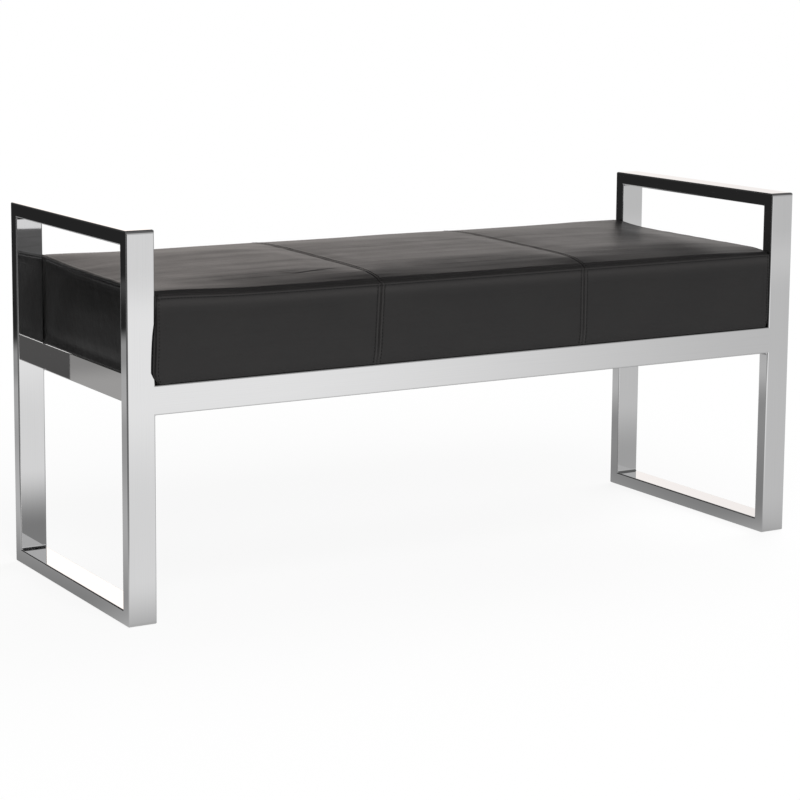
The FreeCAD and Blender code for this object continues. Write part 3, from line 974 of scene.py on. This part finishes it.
def stitch_rows(form):
    """The rows of stitches as points on the box: along the boxing, beside the seams and at the corners."""
    size = form.size
    sewing = form.sewing
    beside = sewing.row_offset
    gap = STITCH_GAP
    low = size.base + STITCH_FOOT
    row_z = size.side_top + size.seam_lift - sewing.boxing_row

    def run(start, end):
        start = np.array(start)
        end = np.array(end)
        count = max(2, round(np.linalg.norm(end - start) / STITCH_STEP))
        return start + np.linspace(0.0, 1.0, count + 1)[:, None] * (end - start)

    a, b = size.half_length, size.half_depth
    rows = [run((-a, -b, row_z), (a, -b, row_z)), run((a, b, row_z), (-a, b, row_z))]
    for seam in form.cross_seams:
        rows.append(run((seam + beside, -b + gap, form.top), (seam + beside, b - gap, form.top)))
        for face in (-b, b):
            for side in (-beside, beside):
                rows.append(run((seam + side, face, low), (seam + side, face, row_z - gap)))
    for end in (-a, a):
        for face in (-b, b):
            x = end - math.copysign(beside, end)
            row = run((x, face, low), (x, face, row_z - gap))
            row[:, 0] += form.corner_run(*row.T)
            rows.append(row)
    return rows


class Nodes:
    """A geometry node tree while it is wired up."""

    def __init__(self, name, inputs):
        self.tree = bpy.data.node_groups.new(name, "GeometryNodeTree")
        self.socket("Rows", "INPUT", "NodeSocketGeometry")
        self.names = {label: self.socket(label, "INPUT", kind) for label, kind in inputs}
        self.socket("Result", "OUTPUT", "NodeSocketGeometry")
        self.source = self.tree.nodes.new("NodeGroupInput")

    def socket(self, label, side, kind):
        """Adds a socket to the tree itself and gives its identifier."""
        return self.tree.interface.new_socket(label, in_out=side, socket_type=kind).identifier

    def node(self, kind, settings=None, sockets=None):
        """Adds a node and gives its outputs."""
        return add_node(self.tree, kind, settings, sockets)

    def given(self, label):
        """One of the tree's own inputs."""
        return self.source.outputs[label]

    def times(self, value, factor):
        """A value times a number."""
        return self.node("ShaderNodeMath", {"operation": "MULTIPLY"}, {0: value, 1: factor})["Value"]

    def point(self, **axes):
        """A point from some of its axes."""
        return self.node("ShaderNodeCombineXYZ", {}, axes)["Vector"]

    def line(self, start, end):
        """A straight line between two points."""
        return self.node("GeometryNodeCurvePrimitiveLine", {}, {"Start": start, "End": end})["Curve"]

    def repeat(self, shape):
        """Repeats a shape along the rows, lying on the surface, and ends the tree."""
        rows = self.node("GeometryNodeMeshToCurve", {}, {"Mesh": self.given("Rows")})["Curve"]
        points = self.node("GeometryNodeCurveToPoints", {"mode": "LENGTH"},
                           {"Curve": rows, "Length": self.given("Pitch")})
        outward = self.node("GeometryNodeInputNamedAttribute", {"data_type": "FLOAT_VECTOR"},
                            {"Name": "outward"})["Attribute"]
        upright = self.node("FunctionNodeAlignRotationToVector", {"axis": "Z"},
                            {"Vector": outward})["Rotation"]
        turned = self.node("FunctionNodeAlignRotationToVector", {"axis": "X", "pivot_axis": "Z"},
                           {"Rotation": upright, "Vector": points["Tangent"]})["Rotation"]
        placed = self.node("GeometryNodeInstanceOnPoints", {},
                           {"Points": points["Points"], "Instance": shape, "Rotation": turned})["Instances"]
        real = self.node("GeometryNodeRealizeInstances", {}, {"Geometry": placed})["Geometry"]
        smooth = self.node("GeometryNodeSetShadeSmooth", {}, {"Geometry": real})["Geometry"]
        painted = self.node("GeometryNodeSetMaterial", {},
                            {"Geometry": smooth, "Material": self.given("Finish")})["Geometry"]
        self.tree.links.new(painted, self.tree.nodes.new("NodeGroupOutput").inputs["Result"])
        return self.tree


def stitch_tree():
    """Repeats a short thread along rows of sewing."""
    nodes = Nodes("thread_stitches", (("Pitch", "NodeSocketFloat"), ("Stitch Length", "NodeSocketFloat"),
                                      ("Thread Width", "NodeSocketFloat"), ("Finish", "NodeSocketMaterial")))
    ball = nodes.node("GeometryNodeMeshUVSphere", {}, {"Segments": 6, "Rings": 5, "Radius": 0.5})["Mesh"]
    laid = nodes.node("GeometryNodeTransform", {},
                      {"Geometry": ball, "Rotation": (0.0, math.pi / 2.0, 0.0)})["Geometry"]
    width = nodes.given("Thread Width")
    size = nodes.point(X=nodes.given("Stitch Length"), Y=width, Z=width)
    shape = nodes.node("GeometryNodeTransform", {}, {"Geometry": laid, "Scale": size})["Geometry"]
    return nodes, nodes.repeat(shape)


# The dust cover's cropped rows, its sag and its puckers, and the staples along its edge
CROP_ROWS = 8
COVER_SAG = 0.0004
PUCKER = 0.6
PUCKER_STRETCH = (26.0, 26.0, 1.0)
STAPLE_CORNER = 0.4
STAPLE_SINK = 0.25
STAPLE_MARGIN = 0.008
STAPLE_LEG = 2.0


def staple_tree():
    """Repeats a bent wire staple along rows."""
    nodes = Nodes("wire_staples", (("Pitch", "NodeSocketFloat"), ("Crown", "NodeSocketFloat"),
                                   ("Wire", "NodeSocketFloat"), ("Finish", "NodeSocketMaterial")))
    half = nodes.times(nodes.given("Crown"), 0.5)
    deep = nodes.times(nodes.given("Wire"), -STAPLE_LEG)
    radius = nodes.times(nodes.given("Wire"), 0.5)
    sides = (nodes.times(half, -1.0), half)
    corners = [nodes.point(X=side) for side in sides]
    lines = [nodes.line(*corners)]
    for side, corner in zip(sides, corners):
        lines.append(nodes.line(nodes.point(X=side, Z=deep), corner))
    profile = nodes.node("GeometryNodeCurvePrimitiveCircle", {},
                         {"Resolution": 6, "Radius": radius})["Curve"]
    join = nodes.tree.nodes.new("GeometryNodeJoinGeometry")
    for line in lines:
        wire = nodes.node("GeometryNodeCurveToMesh", {},
                          {"Curve": line, "Profile Curve": profile, "Fill Caps": True})["Mesh"]
        nodes.tree.links.new(wire, join.inputs["Geometry"])
    return nodes, nodes.repeat(join.outputs["Geometry"])


def repeated(name, rows, outward, nodes, tree, values):
    """Runs a geometry tree over rows of points and gives its result as a plain mesh piece."""
    points = np.concatenate(rows)
    edges = []
    start = 0
    for row in rows:
        edges += [(start + n, start + n + 1) for n in range(len(row) - 1)]
        start += len(row)
    mesh = bpy.data.meshes.new(name + "_rows")
    mesh.from_pydata([tuple(p) for p in points], edges, [])
    way = mesh.attributes.new("outward", "FLOAT_VECTOR", "POINT")
    way.data.foreach_set("vector", np.concatenate(outward).ravel())
    guide = bpy.data.objects.new(name + "_rows", mesh)
    bpy.context.scene.collection.objects.link(guide)
    modifier = guide.modifiers.new(tree.name, "NODES")
    modifier.node_group = tree
    for label, value in values.items():
        modifier[nodes.names[label]] = value
    bpy.context.view_layer.update()
    result = bpy.data.meshes.new_from_object(guide.evaluated_get(bpy.context.evaluated_depsgraph_get()))
    bpy.data.objects.remove(guide)
    if not result.polygons:
        raise RuntimeError(name + " came out empty")
    result.name = name
    piece = bpy.data.objects.new(name, result)
    bpy.context.scene.collection.objects.link(piece)
    return piece


class BENCH_OT_stitches(bpy.types.Operator):
    """Sew the rows of stitches along the seat's seams"""
    bl_idname = "bench.stitches"
    bl_label = "Sew the stitches"

    def execute(self, context):
        sewing = context.scene.bench_sewing
        form = FORM["seat"]
        rows, outward = [], []
        for row in stitch_rows(form):
            place, normal, _, _ = form.finished(row)
            rows.append(place + THREAD_LIFT * sewing.thread_width * normal)
            outward.append(normal)
        nodes, tree = stitch_tree()
        piece = repeated("seat_stitches", rows, outward, nodes, tree, {
            "Pitch": sewing.stitch_pitch, "Stitch Length": sewing.stitch_length,
            "Thread Width": sewing.thread_width,
            "Finish": sewing_thread(context.scene.bench_finish.thread)})
        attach(piece, BODY)
        return {"FINISHED"}


def cover_mesh(sewing, low, high):
    """Points and faces of the dust cover: a thin sheet with cropped corners, a slight sag and puckers."""
    half_x, half_y = high.x, high.y
    edge_y = half_y - sewing.cover_crop
    rows = sewing.cloth_rows
    columns = rows * 2
    cropped = np.linspace(edge_y, half_y, CROP_ROWS + 1)[1:]
    whole = np.linspace(-edge_y, edge_y, rows - 2 * CROP_ROWS + 1)
    levels = np.concatenate((-cropped[::-1], whole, cropped))
    points = []
    for y in levels:
        reach = half_x - max(0.0, abs(y) - edge_y)
        for u in np.linspace(-1.0, 1.0, columns):
            points.append((u * reach, y, 0.0))
    under = np.array(points)
    pucker = soft_noise(under, PUCKER_STRETCH)
    slack = (1.0 - (under[:, 0] / half_x) ** 2) * (1.0 - (under[:, 1] / half_y) ** 2)
    under[:, 2] = low.z - COVER_SAG * slack * (1.0 + PUCKER * pucker)
    over = under + np.array((0.0, 0.0, high.z - low.z))
    count = len(levels)
    faces = []
    for layer, flip in ((0, True), (len(points), False)):
        for r in range(count - 1):
            for c in range(columns - 1):
                n = layer + r * columns + c
                quad = (n, n + 1, n + columns + 1, n + columns)
                faces.append(tuple(reversed(quad)) if flip else quad)
    rim = list(range(columns)) + [r * columns + columns - 1 for r in range(1, count)]
    rim += [(count - 1) * columns + c for c in range(columns - 2, -1, -1)]
    rim += [r * columns for r in range(count - 2, 0, -1)]
    for n, c in enumerate(rim):
        d = rim[(n + 1) % len(rim)]
        faces.append((c, d, d + len(points), c + len(points)))
    return np.concatenate((under, over)), faces


def staple_lines(sewing, low, high):
    """The straight lines that the staples run along, just inside the dust cover's edge."""
    inset = sewing.staple_inset
    x, y = high.x - inset, high.y - inset
    cut = sewing.cover_crop + STAPLE_CORNER * inset
    outline = [(-x + cut, -y), (x - cut, -y), (x, -y + cut), (x, y - cut), (x - cut, y), (-x + cut, y),
               (-x, y - cut), (-x, -y + cut)]
    depth = low.z - STAPLE_SINK * sewing.staple_wire
    lines = []
    for start, end in zip(outline, outline[1:] + outline[:1]):
        a = np.array((*start, depth))
        b = np.array((*end, depth))
        margin = STAPLE_MARGIN * (b - a) / np.linalg.norm(b - a)
        lines.append(np.array((a + margin, b - margin)))
    return lines


class BENCH_OT_dust_cover(bpy.types.Operator):
    """Stretch the dust cover under the seat and staple it"""
    bl_idname = "bench.dust_cover"
    bl_label = "Fit the dust cover"

    def execute(self, context):
        sewing = context.scene.bench_sewing
        tints = context.scene.bench_finish
        low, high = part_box("dust_cover")
        cloth = add_piece("dust_cover_cloth", *cover_mesh(sewing, low, high), dust_cloth(tints.cloth))
        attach(cloth, BODY)
        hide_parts("dust_cover")
        lines = staple_lines(sewing, low, high)
        down = [np.tile((0.0, 0.0, -1.0), (len(line), 1)) for line in lines]
        nodes, tree = staple_tree()
        staples = repeated("dust_cover_staples", lines, down, nodes, tree, {
            "Pitch": sewing.staple_pitch, "Crown": sewing.staple_crown, "Wire": sewing.staple_wire,
            "Finish": plain_steel(tints.zinc)})
        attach(staples, BODY)
        return {"FINISHED"}


WHITE = (1.0, 1.0, 1.0)

# The surround: turns in degrees to the right of straight ahead, how bright its parts are, and for each part
# the axes of a direction along which it sets in, with the values where it begins and is whole
WALL_TURN = 14.0
LAMP_TURN = -152.0
DARK_LEVEL = 0.040
FRONT_LEVEL = 0.40
LAMP_LEVEL = 1.3
CEILING_LEVEL = 0.07
WALL_LEVEL = 1.20
WALL_WHITE = 0.12
WALL_TINT = (1.0, 0.915, 0.865)
RIGHT_LOSS = 0.32
RIGHT_TINT_LOSS = 0.5
SURROUND = {
    "wall": (("behind", 0.64, 0.86), ("up", 0.43, 0.29), ("across", -0.20, 0.08)),
    "right": (("across", 0.35, 0.66),),
    "front": (("ahead", 0.1, -0.5), ("across", -0.45, 0.05), ("up", 0.7, 0.3)),
    "lamp": (("near_camera", 0.93, 0.97), ("up", 0.02, 0.07), ("up", 0.42, 0.36)),
    "ceiling": (("up", 0.45, 0.75), ("ahead", 0.5, 0.0)),
}

# The floor's tones in reflections: each part is an amount, and the axes along which it sets in, with the
# places where it begins and is whole
AHEAD_LEVEL = 0.69
AHEAD_STEPS = ((0.12, ("y", -0.8, -1.6)), (-0.13, ("y", -2.5, -3.4)))
SLANTED = ("slant", 0.50, 0.85)
AHEAD_DIMMED = (
    ((0.25, SLANTED), (0.12, SLANTED, ("y", -0.8, -1.6)), (-0.12, SLANTED, ("y", -2.2, -3.0))),
    ((0.88, ("x", -0.55, -0.95), ("y", -0.2, -0.6)),),
)
AHEAD_RUN = (-0.02, -0.42)
BEHIND_LEVEL = 0.45
BEHIND_STEPS = ((-0.06, ("y", 0.9, 1.4)), (-0.11, ("y", 1.45, 1.7)), (-0.262, ("y", 1.84, 2.1)),
                (-0.09, ("y", 0.5, 0.0)))
# The first zone below is a painted shadow of the seat on the floor under and behind it, seen in reflections
BEHIND_DIMMED = (
    ((0.42, ("x_squared", 0.38, 0.18), ("y", 0.95, 0.6)),),
    ((0.85, ("left", -0.12, -0.40), ("y", 2.0, 1.5)),),
    ((0.28, ("x", -0.70, -1.00), ("y", 1.30, 0.95)),),
)
BEHIND_LIT = (
    (0.22, ("x", -0.5, 0.0), ("y", 1.5, 2.2)),
    (0.53, ("x", 0.3, 1.2), ("y", 1.6, 2.4)),
    (0.06, ("x", -1.6, -2.0), ("y", 2.2, 2.5), ("y", 2.95, 2.7)),
    (0.40, ("x", -1.35, -1.05), ("x", -0.1, -0.4), ("y", 1.9, 2.4)),
)
SLANT_X = 1.77
SLANT_Y = 2.54
LEFT_X = 0.55
LEFT_Y = 0.2
LEFT_SLOPE = 0.45
# A painted shadow on the floor beside the left foot rail, seen in reflections
RAIL_SHADE = 0.30
RAIL_X = 0.56
RAIL_WIDTH = 0.09
RAIL_RUN = (0.75, 0.35)
FLOOR_COLOUR = (0.9, 0.9, 0.9, 1.0)
SHADOW_SHARE = 0.11
SHADOW_RUN = (1.5, 0.45)

# The lamps and the camera
KEY_PLACE = (-0.9, -3.2, 3.2)
FILL_PLACE = (2.6, 1.2, 3.0)
LAMP_SIZE = 2.6
LAMP_AIM = (0.0, 0.0, 0.25)
SENSOR_WIDTH = 36.0


def seen_in_metal(board):
    """1 for the rays that metal and glass send on, and 0 for others."""
    return board.ray("Glossy") + board.ray("Transmission")


def studio_world(world):
    """A studio round the bench: a low white wall behind and to the right, dark at the left and overhead."""
    world.use_nodes = True
    board = Board(world.node_tree)
    way = board.node("ShaderNodeTexCoord", output="Generated")
    axes = {"across": board.axis(way, "X"), "ahead": board.axis(way, "Y"), "up": board.axis(way, "Z")}
    for name, degrees in (("behind", WALL_TURN), ("near_camera", LAMP_TURN)):
        turn = math.radians(degrees)
        axes[name] = axes["across"] * math.sin(turn) + axes["ahead"] * math.cos(turn)
    part = {name: board.zone(axes, limits) for name, limits in SURROUND.items()}
    wall, right = part["wall"], part["right"]
    level = DARK_LEVEL + FRONT_LEVEL * part["front"] + LAMP_LEVEL * part["lamp"]
    level = level + CEILING_LEVEL * part["ceiling"] + wall * (WALL_LEVEL - RIGHT_LOSS * right)
    tint = board.tint(wall * (1.0 - RIGHT_TINT_LOSS * right), WHITE, WALL_TINT)
    around = board.node("ShaderNodeBackground", {}, {"Color": tint, "Strength": level})
    white = board.node("ShaderNodeBackground", {}, {"Color": (*WHITE, 1.0), "Strength": 1.0})
    backdrop = board.ray("Camera") + WALL_WHITE * wall * (1.0 - right) * seen_in_metal(board)
    board.node_output("ShaderNodeOutputWorld",
                      board.node("ShaderNodeMixShader", {}, {0: backdrop, 1: around, 2: white}))


def floor_tone(board, x, y):
    """How bright the floor looks in reflections."""
    axes = {"x": x, "y": y, "x_squared": x * x, "slant": (x + SLANT_X) / (SLANT_Y - y),
            "left": x + LEFT_X + LEFT_SLOPE * (y + LEFT_Y)}
    ahead = board.summed(AHEAD_LEVEL, axes, AHEAD_STEPS)
    for parts in AHEAD_DIMMED:
        ahead = ahead * (1.0 - board.summed(0.0, axes, parts))
    behind = board.summed(BEHIND_LEVEL, axes, BEHIND_STEPS)
    for parts in BEHIND_DIMMED:
        behind = behind * (1.0 - board.summed(0.0, axes, parts))
    # The painted shadow beside the left foot rail
    from_rail = ((x + RAIL_X) / RAIL_WIDTH) ** 2
    beside_rail = board.node("ShaderNodeMath", {"operation": "EXPONENT"}, {0: from_rail * -1.0})
    behind = behind * (1.0 - RAIL_SHADE * beside_rail * board.ease(y, *RAIL_RUN))
    behind = board.summed(behind, axes, BEHIND_LIT)
    return behind + board.ease(y, *AHEAD_RUN) * (ahead - behind)


def studio_floor():
    """The pale floor: white with the bench's shadow to the camera, and toned like a lit floor in mirrors."""
    finish, board = new_finish("studio_floor_finish")
    finish.cycles.emission_sampling = "NONE"
    place = board.place()
    tone = floor_tone(board, board.axis(place, "X"), board.axis(place, "Y"))
    toned = board.node("ShaderNodeEmission", {}, {"Color": (*WHITE, 1.0), "Strength": tone})
    white = board.node("ShaderNodeEmission", {}, {"Color": (*WHITE, 1.0), "Strength": 1.0})
    lit = board.node("ShaderNodeBsdfDiffuse", {}, {"Color": FLOOR_COLOUR})
    away = board.node("ShaderNodeVectorMath", {"operation": "LENGTH"}, {0: place}, output="Value")
    shadow = SHADOW_SHARE * board.ease(away, *SHADOW_RUN)
    shown = board.node("ShaderNodeMixShader", {}, {0: shadow, 1: white, 2: lit})
    mirrored = board.node("ShaderNodeMixShader", {}, {0: seen_in_metal(board), 1: lit, 2: toned})
    solid = board.node("ShaderNodeMixShader", {}, {0: board.ray("Camera"), 1: mirrored, 2: shown})
    clear = board.node("ShaderNodeBsdfTransparent")
    below = board.node("ShaderNodeNewGeometry", output="Backfacing")
    board.surface(board.node("ShaderNodeMixShader", {}, {0: below, 1: solid, 2: clear}))
    return finish


class BENCH_OT_stage(bpy.types.Operator):
    """Set up the floor, the light and the camera"""
    bl_idname = "bench.stage"
    bl_label = "Set the stage"

    def execute(self, context):
        scene = context.scene
        studio = scene.bench_studio
        scene.view_settings.view_transform = "Standard"
        scene.world = scene.world or bpy.data.worlds.new("studio")
        studio_world(scene.world)
        half = studio.floor_half
        corners = [(-half, -half, 0.0), (half, -half, 0.0), (half, half, 0.0), (-half, half, 0.0)]
        floor = add_piece("studio_floor", corners, [(0, 1, 2, 3)], studio_floor(), smooth=False)
        self.lamp("key_light", studio.key_power, KEY_PLACE)
        self.lamp("fill_light", studio.fill_power, FILL_PLACE)
        lens = bpy.data.cameras.new("photo_camera")
        lens.sensor_width = SENSOR_WIDTH
        lens.lens = lens.sensor_width * studio.focal_pixels / studio.image_size
        lens.shift_y = studio.axis_row / studio.image_size - 0.5
        camera = bpy.data.objects.new("photo_camera", lens)
        turn = Matrix.Rotation(-math.radians(studio.azimuth), 4, "Z")
        tilt = Matrix.Rotation(math.radians(90.0 - studio.pitch), 4, "X")
        roll = Matrix.Rotation(math.radians(studio.camera_roll), 4, "Z")
        camera.matrix_world = Matrix.Translation(studio.eye) @ turn @ tilt @ roll
        scene.collection.objects.link(camera)
        scene.camera = camera
        return {"FINISHED"}

    def lamp(self, name, watts, place):
        """A soft square light that looks at the seat and leaves no glare on the metal."""
        light = bpy.data.lights.new(name, "AREA")
        light.energy = watts
        light.size = LAMP_SIZE
        lamp = bpy.data.objects.new(name, light)
        aim = Vector(LAMP_AIM) - Vector(place)
        lamp.matrix_world = Matrix.Translation(place) @ aim.to_track_quat("-Z", "Y").to_matrix().to_4x4()
        lamp.visible_glossy = False
        bpy.context.scene.collection.objects.link(lamp)


class BENCH_PT_panel(bpy.types.Panel):
    """The bench's steps and sizes in the sidebar"""
    bl_idname = "BENCH_PT_panel"
    bl_label = "Upholstered bench"
    bl_space_type = "VIEW_3D"
    bl_region_type = "UI"
    bl_category = "Bench"

    def draw(self, context):
        for step in STEPS:
            self.layout.operator(step.bl_idname)
        for group in SETTINGS:
            box = self.layout.box()
            values = getattr(context.scene, group)
            for name in values.__annotations__:
                box.prop(values, name)


STEPS = (BENCH_OT_frame, BENCH_OT_seat, BENCH_OT_stitches, BENCH_OT_dust_cover, BENCH_OT_stage)
SETTINGS = {"bench_seat": BenchSeatSettings, "bench_sewing": BenchSewingSettings,
            "bench_finish": BenchFinishSettings, "bench_studio": BenchStudioSettings}


def register():
    """Registers the settings, the steps and the panel."""
    for name, group in SETTINGS.items():
        bpy.utils.register_class(group)
        setattr(bpy.types.Scene, name, PointerProperty(type=group))
    for made in (*STEPS, BENCH_PT_panel):
        bpy.utils.register_class(made)


def unregister():
    """Takes the panel, the steps and the settings away again."""
    for made in (BENCH_PT_panel, *reversed(STEPS)):
        bpy.utils.unregister_class(made)
    for name, group in SETTINGS.items():
        delattr(bpy.types.Scene, name)
        bpy.utils.unregister_class(group)


def main():
    """Builds the bench step by step."""
    register()
    bpy.ops.bench.frame()
    bpy.ops.bench.seat()
    bpy.ops.bench.stitches()
    bpy.ops.bench.dust_cover()
    bpy.ops.bench.stage()


if __name__ == "__main__":
    main()
